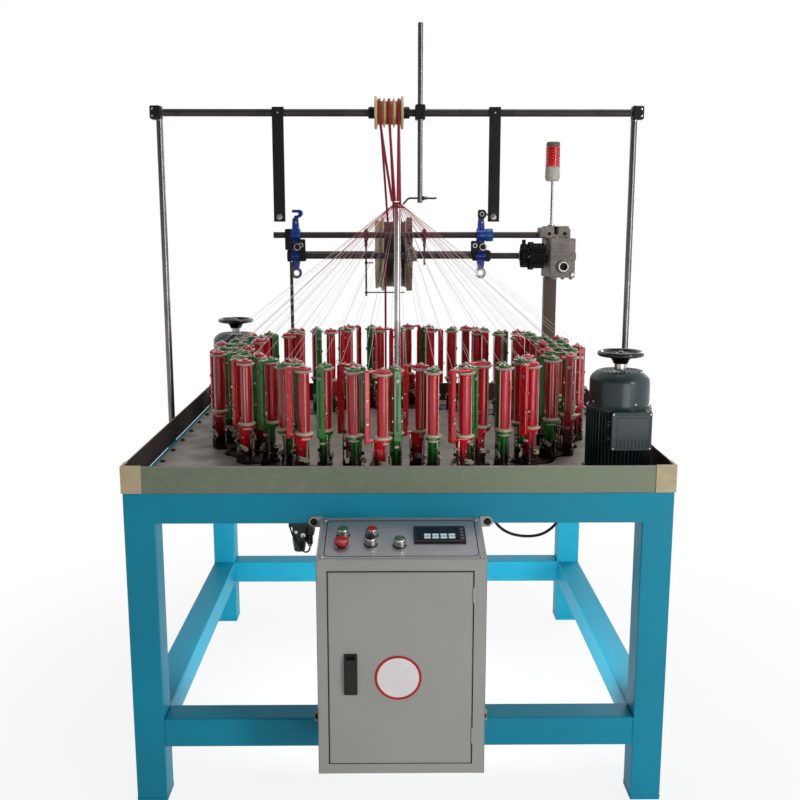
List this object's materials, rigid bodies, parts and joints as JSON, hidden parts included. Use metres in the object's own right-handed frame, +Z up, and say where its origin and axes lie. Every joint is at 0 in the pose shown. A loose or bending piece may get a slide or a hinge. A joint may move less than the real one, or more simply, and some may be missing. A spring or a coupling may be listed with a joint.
{
  "type": "kumihimo braiding machine",
  "caption": "Floor-standing cord braider: ring of horn gears carrying upright bobbins on a steel table, overhead guide roller, rear take-up and control cabinet.",
  "frame": {"origin": "on the floor, under the centre of the machine's bounding box", "axes": "+Z up, -Y towards the operator and the control cabinet, +X to the operator's right"},
  "size_m": [1.476, 1.7072, 2.103],
  "materials": {
    "frame_paint": "gloss teal enamel",
    "ground_steel": "ground plate",
    "quoit_steel": "turned",
    "carrier_paint": "gloss red and green enamel",
    "galvanised": "spangled zinc",
    "cream_cap": "cream",
    "motor_paint": "dark teal-grey enamel",
    "handwheel_black": "moulded",
    "rod_steel": "ground bar",
    "clamp_black": "black",
    "bright_rod": "bright",
    "roller_cream": "cream nylon",
    "gearbox_grey": "hammered grey",
    "bracket_blue": "blue enamel",
    "drum_dark": "dark cast iron",
    "lens_red": "red lens on ivory base",
    "cabinet_grey": "warm light grey powder coat",
    "green_button": "green cap",
    "red_button": "red cap",
    "black_plastic": "black",
    "cable_black": "black sheath",
    "braid_yarn": "red braid"
  },
  "bodies": {
    "machine": {"base_frame": "frame_paint", "track_plates": "ground_steel", "quoits": "quoit_steel", "tray_walls": "galvanised", "tray_corner_caps": "cream_cap", "motor_housings": "motor_paint", "gantry_tubes": "rod_steel", "gantry_clamps": "clamp_black", "guide_tube": "bright_rod", "take_up_stand": "gearbox_grey", "shaft_brackets": "bracket_blue", "signal_light": "lens_red", "control_cabinet": "cabinet_grey", "motor_cable": "cable_black", "braid_strands": "braid_yarn"},
    "horn_gear_01": {"horn_gear_01": "carrier_paint"},
    "horn_gear_02": {"horn_gear_02": "carrier_paint"},
    "horn_gear_03": {"horn_gear_03": "carrier_paint"},
    "horn_gear_04": {"horn_gear_04": "carrier_paint"},
    "horn_gear_05": {"horn_gear_05": "carrier_paint"},
    "horn_gear_06": {"horn_gear_06": "carrier_paint"},
    "horn_gear_07": {"horn_gear_07": "carrier_paint"},
    "horn_gear_08": {"horn_gear_08": "carrier_paint"},
    "horn_gear_09": {"horn_gear_09": "carrier_paint"},
    "horn_gear_10": {"horn_gear_10": "carrier_paint"},
    "horn_gear_11": {"horn_gear_11": "carrier_paint"},
    "horn_gear_12": {"horn_gear_12": "carrier_paint"},
    "horn_gear_13": {"horn_gear_13": "carrier_paint"},
    "horn_gear_14": {"horn_gear_14": "carrier_paint"},
    "horn_gear_15": {"horn_gear_15": "carrier_paint"},
    "horn_gear_16": {"horn_gear_16": "carrier_paint"},
    "horn_gear_17": {"horn_gear_17": "carrier_paint"},
    "horn_gear_18": {"horn_gear_18": "carrier_paint"},
    "horn_gear_19": {"horn_gear_19": "carrier_paint"},
    "horn_gear_20": {"horn_gear_20": "carrier_paint"},
    "horn_gear_21": {"horn_gear_21": "carrier_paint"},
    "horn_gear_22": {"horn_gear_22": "carrier_paint"},
    "horn_gear_23": {"horn_gear_23": "carrier_paint"},
    "horn_gear_24": {"horn_gear_24": "carrier_paint"},
    "horn_gear_25": {"horn_gear_25": "carrier_paint"},
    "horn_gear_26": {"horn_gear_26": "carrier_paint"},
    "horn_gear_27": {"horn_gear_27": "carrier_paint"},
    "horn_gear_28": {"horn_gear_28": "carrier_paint"},
    "horn_gear_29": {"horn_gear_29": "carrier_paint"},
    "horn_gear_30": {"horn_gear_30": "carrier_paint"},
    "horn_gear_31": {"horn_gear_31": "carrier_paint"},
    "horn_gear_32": {"horn_gear_32": "carrier_paint"},
    "front_handwheel": {"front_handwheel": "handwheel_black"},
    "rear_handwheel": {"rear_handwheel": "handwheel_black"},
    "guide_roller": {"guide_roller": "roller_cream"},
    "take_up_roller": {"take_up_roller": "drum_dark"},
    "drive_shaft": {"drive_shaft": "rod_steel"},
    "height_rod": {"height_rod": "bright_rod"},
    "cabinet_door": {"cabinet_door": "cabinet_grey"},
    "door_latch": {"door_latch": "black_plastic"},
    "start_button": {"start_button": "green_button"},
    "stop_button": {"stop_button": "red_button"},
    "jog_button": {"jog_button": "green_button"},
    "emergency_stop": {"emergency_stop": "red_button"},
    "selector_switch": {"selector_switch": "black_plastic"}
  },
  "joints": [
    {"name": "horn_turn_01", "type": "hinge", "parent": "machine", "child": "horn_gear_01", "pos_m": [-0.05775, -0.49519, 0.848], "axis": [0, 0, 1], "range_deg": [-12, 74]},
    {"name": "horn_turn_02", "type": "hinge", "parent": "machine", "child": "horn_gear_02", "pos_m": [0.04224, -0.49671, 0.848], "axis": [0, 0, 1], "range_deg": [-74, 12]},
    {"name": "horn_turn_03", "type": "hinge", "parent": "machine", "child": "horn_gear_03", "pos_m": [0.14061, -0.4787, 0.848], "axis": [0, 0, 1], "range_deg": [-12, 74]},
    {"name": "horn_turn_04", "type": "hinge", "parent": "machine", "child": "horn_gear_04", "pos_m": [0.23357, -0.44185, 0.848], "axis": [0, 0, 1], "range_deg": [-74, 12]},
    {"name": "horn_turn_05", "type": "hinge", "parent": "machine", "child": "horn_gear_05", "pos_m": [0.31755, -0.38757, 0.848], "axis": [0, 0, 1], "range_deg": [-12, 74]},
    {"name": "horn_turn_06", "type": "hinge", "parent": "machine", "child": "horn_gear_06", "pos_m": [0.38934, -0.31795, 0.848], "axis": [0, 0, 1], "range_deg": [-74, 12]},
    {"name": "horn_turn_07", "type": "hinge", "parent": "machine", "child": "horn_gear_07", "pos_m": [0.44616, -0.23566, 0.848], "axis": [0, 0, 1], "range_deg": [-12, 74]},
    {"name": "horn_turn_08", "type": "hinge", "parent": "machine", "child": "horn_gear_08", "pos_m": [0.48583, -0.14387, 0.848], "axis": [0, 0, 1], "range_deg": [-74, 12]},
    {"name": "horn_turn_09", "type": "hinge", "parent": "machine", "child": "horn_gear_09", "pos_m": [0.50684, -0.0461, 0.848], "axis": [0, 0, 1], "range_deg": [-12, 74]},
    {"name": "horn_turn_10", "type": "hinge", "parent": "machine", "child": "horn_gear_10", "pos_m": [0.50836, 0.05389, 0.848], "axis": [0, 0, 1], "range_deg": [-74, 12]},
    {"name": "horn_turn_11", "type": "hinge", "parent": "machine", "child": "horn_gear_11", "pos_m": [0.49035, 0.15226, 0.848], "axis": [0, 0, 1], "range_deg": [-12, 74]},
    {"name": "horn_turn_12", "type": "hinge", "parent": "machine", "child": "horn_gear_12", "pos_m": [0.4535, 0.24522, 0.848], "axis": [0, 0, 1], "range_deg": [-74, 12]},
    {"name": "horn_turn_13", "type": "hinge", "parent": "machine", "child": "horn_gear_13", "pos_m": [0.39922, 0.3292, 0.848], "axis": [0, 0, 1], "range_deg": [-12, 74]},
    {"name": "horn_turn_14", "type": "hinge", "parent": "machine", "child": "horn_gear_14", "pos_m": [0.3296, 0.40099, 0.848], "axis": [0, 0, 1], "range_deg": [-74, 12]},
    {"name": "horn_turn_15", "type": "hinge", "parent": "machine", "child": "horn_gear_15", "pos_m": [0.24731, 0.45781, 0.848], "axis": [0, 0, 1], "range_deg": [-12, 74]},
    {"name": "horn_turn_16", "type": "hinge", "parent": "machine", "child": "horn_gear_16", "pos_m": [0.15552, 0.49748, 0.848], "axis": [0, 0, 1], "range_deg": [-74, 12]},
    {"name": "horn_turn_17", "type": "hinge", "parent": "machine", "child": "horn_gear_17", "pos_m": [0.05775, 0.51849, 0.848], "axis": [0, 0, 1], "range_deg": [-12, 74]},
    {"name": "horn_turn_18", "type": "hinge", "parent": "machine", "child": "horn_gear_18", "pos_m": [-0.04224, 0.52001, 0.848], "axis": [0, 0, 1], "range_deg": [-74, 12]},
    {"name": "horn_turn_19", "type": "hinge", "parent": "machine", "child": "horn_gear_19", "pos_m": [-0.14061, 0.502, 0.848], "axis": [0, 0, 1], "range_deg": [-12, 74]},
    {"name": "horn_turn_20", "type": "hinge", "parent": "machine", "child": "horn_gear_20", "pos_m": [-0.23357, 0.46515, 0.848], "axis": [0, 0, 1], "range_deg": [-74, 12]},
    {"name": "horn_turn_21", "type": "hinge", "parent": "machine", "child": "horn_gear_21", "pos_m": [-0.31755, 0.41087, 0.848], "axis": [0, 0, 1], "range_deg": [-12, 74]},
    {"name": "horn_turn_22", "type": "hinge", "parent": "machine", "child": "horn_gear_22", "pos_m": [-0.38934, 0.34125, 0.848], "axis": [0, 0, 1], "range_deg": [-74, 12]},
    {"name": "horn_turn_23", "type": "hinge", "parent": "machine", "child": "horn_gear_23", "pos_m": [-0.44616, 0.25896, 0.848], "axis": [0, 0, 1], "range_deg": [-12, 74]},
    {"name": "horn_turn_24", "type": "hinge", "parent": "machine", "child": "horn_gear_24", "pos_m": [-0.48583, 0.16717, 0.848], "axis": [0, 0, 1], "range_deg": [-74, 12]},
    {"name": "horn_turn_25", "type": "hinge", "parent": "machine", "child": "horn_gear_25", "pos_m": [-0.50684, 0.0694, 0.848], "axis": [0, 0, 1], "range_deg": [-12, 74]},
    {"name": "horn_turn_26", "type": "hinge", "parent": "machine", "child": "horn_gear_26", "pos_m": [-0.50836, -0.03059, 0.848], "axis": [0, 0, 1], "range_deg": [-74, 12]},
    {"name": "horn_turn_27", "type": "hinge", "parent": "machine", "child": "horn_gear_27", "pos_m": [-0.49035, -0.12896, 0.848], "axis": [0, 0, 1], "range_deg": [-12, 74]},
    {"name": "horn_turn_28", "type": "hinge", "parent": "machine", "child": "horn_gear_28", "pos_m": [-0.4535, -0.22192, 0.848], "axis": [0, 0, 1], "range_deg": [-74, 12]},
    {"name": "horn_turn_29", "type": "hinge", "parent": "machine", "child": "horn_gear_29", "pos_m": [-0.39922, -0.3059, 0.848], "axis": [0, 0, 1], "range_deg": [-12, 74]},
    {"name": "horn_turn_30", "type": "hinge", "parent": "machine", "child": "horn_gear_30", "pos_m": [-0.3296, -0.37769, 0.848], "axis": [0, 0, 1], "range_deg": [-74, 12]},
    {"name": "horn_turn_31", "type": "hinge", "parent": "machine", "child": "horn_gear_31", "pos_m": [-0.24731, -0.43451, 0.848], "axis": [0, 0, 1], "range_deg": [-12, 74]},
    {"name": "horn_turn_32", "type": "hinge", "parent": "machine", "child": "horn_gear_32", "pos_m": [-0.15552, -0.47418, 0.848], "axis": [0, 0, 1], "range_deg": [-74, 12]},
    {"name": "take_up_turn", "type": "hinge", "parent": "machine", "child": "take_up_roller", "pos_m": [0, 0.71665, 1.407], "axis": [1, 0, 0], "continuous": true},
    {"name": "drive_shaft_turn", "type": "hinge", "parent": "machine", "child": "drive_shaft", "pos_m": [0, 0.55165, 1.407], "axis": [1, 0, 0], "continuous": true},
    {"name": "guide_roller_turn", "type": "hinge", "parent": "machine", "child": "guide_roller", "pos_m": [-0.025, 0.01165, 1.85], "axis": [1, 0, 0], "continuous": true},
    {"name": "front_handwheel_turn", "type": "hinge", "parent": "machine", "child": "front_handwheel", "pos_m": [0.595, -0.43835, 1.1833], "axis": [0, 0, 1], "continuous": true},
    {"name": "rear_handwheel_turn", "type": "hinge", "parent": "machine", "child": "rear_handwheel", "pos_m": [-0.572, 0.46165, 1.1833], "axis": [0, 0, 1], "continuous": true},
    {"name": "height_rod_slide", "type": "slide", "parent": "machine", "child": "height_rod", "axis": [0, 0, 1], "range_m": [-0.01, 0.2]},
    {"name": "door_swing", "type": "hinge", "parent": "machine", "child": "cabinet_door", "pos_m": [0.175, -0.83835, 0.47], "axis": [0, 0, 1], "range_deg": [0, 115]},
    {"name": "latch_turn", "type": "hinge", "parent": "cabinet_door", "child": "door_latch", "pos_m": [-0.118, -0.83635, 0.494], "axis": [0, 1, 0], "range_deg": [0, 90]},
    {"name": "start_button_press", "type": "slide", "parent": "machine", "child": "start_button", "axis": [0, 0.2169, -0.9762], "range_m": [0, 0.004], "stiffness_N_per_m": 400, "springref_m": -0.002},
    {"name": "stop_button_press", "type": "slide", "parent": "machine", "child": "stop_button", "axis": [0, 0.2169, -0.9762], "range_m": [0, 0.004], "stiffness_N_per_m": 400, "springref_m": -0.002},
    {"name": "jog_button_press", "type": "slide", "parent": "machine", "child": "jog_button", "axis": [0, 0.2169, -0.9762], "range_m": [0, 0.004], "stiffness_N_per_m": 400, "springref_m": -0.002},
    {"name": "emergency_stop_press", "type": "slide", "parent": "machine", "child": "emergency_stop", "axis": [0, 0.2169, -0.9762], "range_m": [0, 0.004], "stiffness_N_per_m": 400, "springref_m": -0.002},
    {"name": "selector_turn", "type": "hinge", "parent": "machine", "child": "selector_switch", "pos_m": [-0.07, -0.76704, 0.7614], "axis": [0, -0.2169, 0.9762], "range_deg": [-45, 45]}
  ],
  "couplings": [
    {"joint": "horn_turn_02", "follows": "horn_turn_01", "ratio": -1},
    {"joint": "horn_turn_03", "follows": "horn_turn_01", "ratio": 1},
    {"joint": "horn_turn_04", "follows": "horn_turn_01", "ratio": -1},
    {"joint": "horn_turn_05", "follows": "horn_turn_01", "ratio": 1},
    {"joint": "horn_turn_06", "follows": "horn_turn_01", "ratio": -1},
    {"joint": "horn_turn_07", "follows": "horn_turn_01", "ratio": 1},
    {"joint": "horn_turn_08", "follows": "horn_turn_01", "ratio": -1},
    {"joint": "horn_turn_09", "follows": "horn_turn_01", "ratio": 1},
    {"joint": "horn_turn_10", "follows": "horn_turn_01", "ratio": -1},
    {"joint": "horn_turn_11", "follows": "horn_turn_01", "ratio": 1},
    {"joint": "horn_turn_12", "follows": "horn_turn_01", "ratio": -1},
    {"joint": "horn_turn_13", "follows": "horn_turn_01", "ratio": 1},
    {"joint": "horn_turn_14", "follows": "horn_turn_01", "ratio": -1},
    {"joint": "horn_turn_15", "follows": "horn_turn_01", "ratio": 1},
    {"joint": "horn_turn_16", "follows": "horn_turn_01", "ratio": -1},
    {"joint": "horn_turn_17", "follows": "horn_turn_01", "ratio": 1},
    {"joint": "horn_turn_18", "follows": "horn_turn_01", "ratio": -1},
    {"joint": "horn_turn_19", "follows": "horn_turn_01", "ratio": 1},
    {"joint": "horn_turn_20", "follows": "horn_turn_01", "ratio": -1},
    {"joint": "horn_turn_21", "follows": "horn_turn_01", "ratio": 1},
    {"joint": "horn_turn_22", "follows": "horn_turn_01", "ratio": -1},
    {"joint": "horn_turn_23", "follows": "horn_turn_01", "ratio": 1},
    {"joint": "horn_turn_24", "follows": "horn_turn_01", "ratio": -1},
    {"joint": "horn_turn_25", "follows": "horn_turn_01", "ratio": 1},
    {"joint": "horn_turn_26", "follows": "horn_turn_01", "ratio": -1},
    {"joint": "horn_turn_27", "follows": "horn_turn_01", "ratio": 1},
    {"joint": "horn_turn_28", "follows": "horn_turn_01", "ratio": -1},
    {"joint": "horn_turn_29", "follows": "horn_turn_01", "ratio": 1},
    {"joint": "horn_turn_30", "follows": "horn_turn_01", "ratio": -1},
    {"joint": "horn_turn_31", "follows": "horn_turn_01", "ratio": 1},
    {"joint": "horn_turn_32", "follows": "horn_turn_01", "ratio": -1},
    {"joint": "drive_shaft_turn", "follows": "take_up_turn", "ratio": -4},
    {"joint": "guide_roller_turn", "follows": "take_up_turn", "ratio": 3.2895},
    {"joint": "front_handwheel_turn", "follows": "take_up_turn", "ratio": 12},
    {"joint": "rear_handwheel_turn", "follows": "take_up_turn", "ratio": 12}
  ]
}
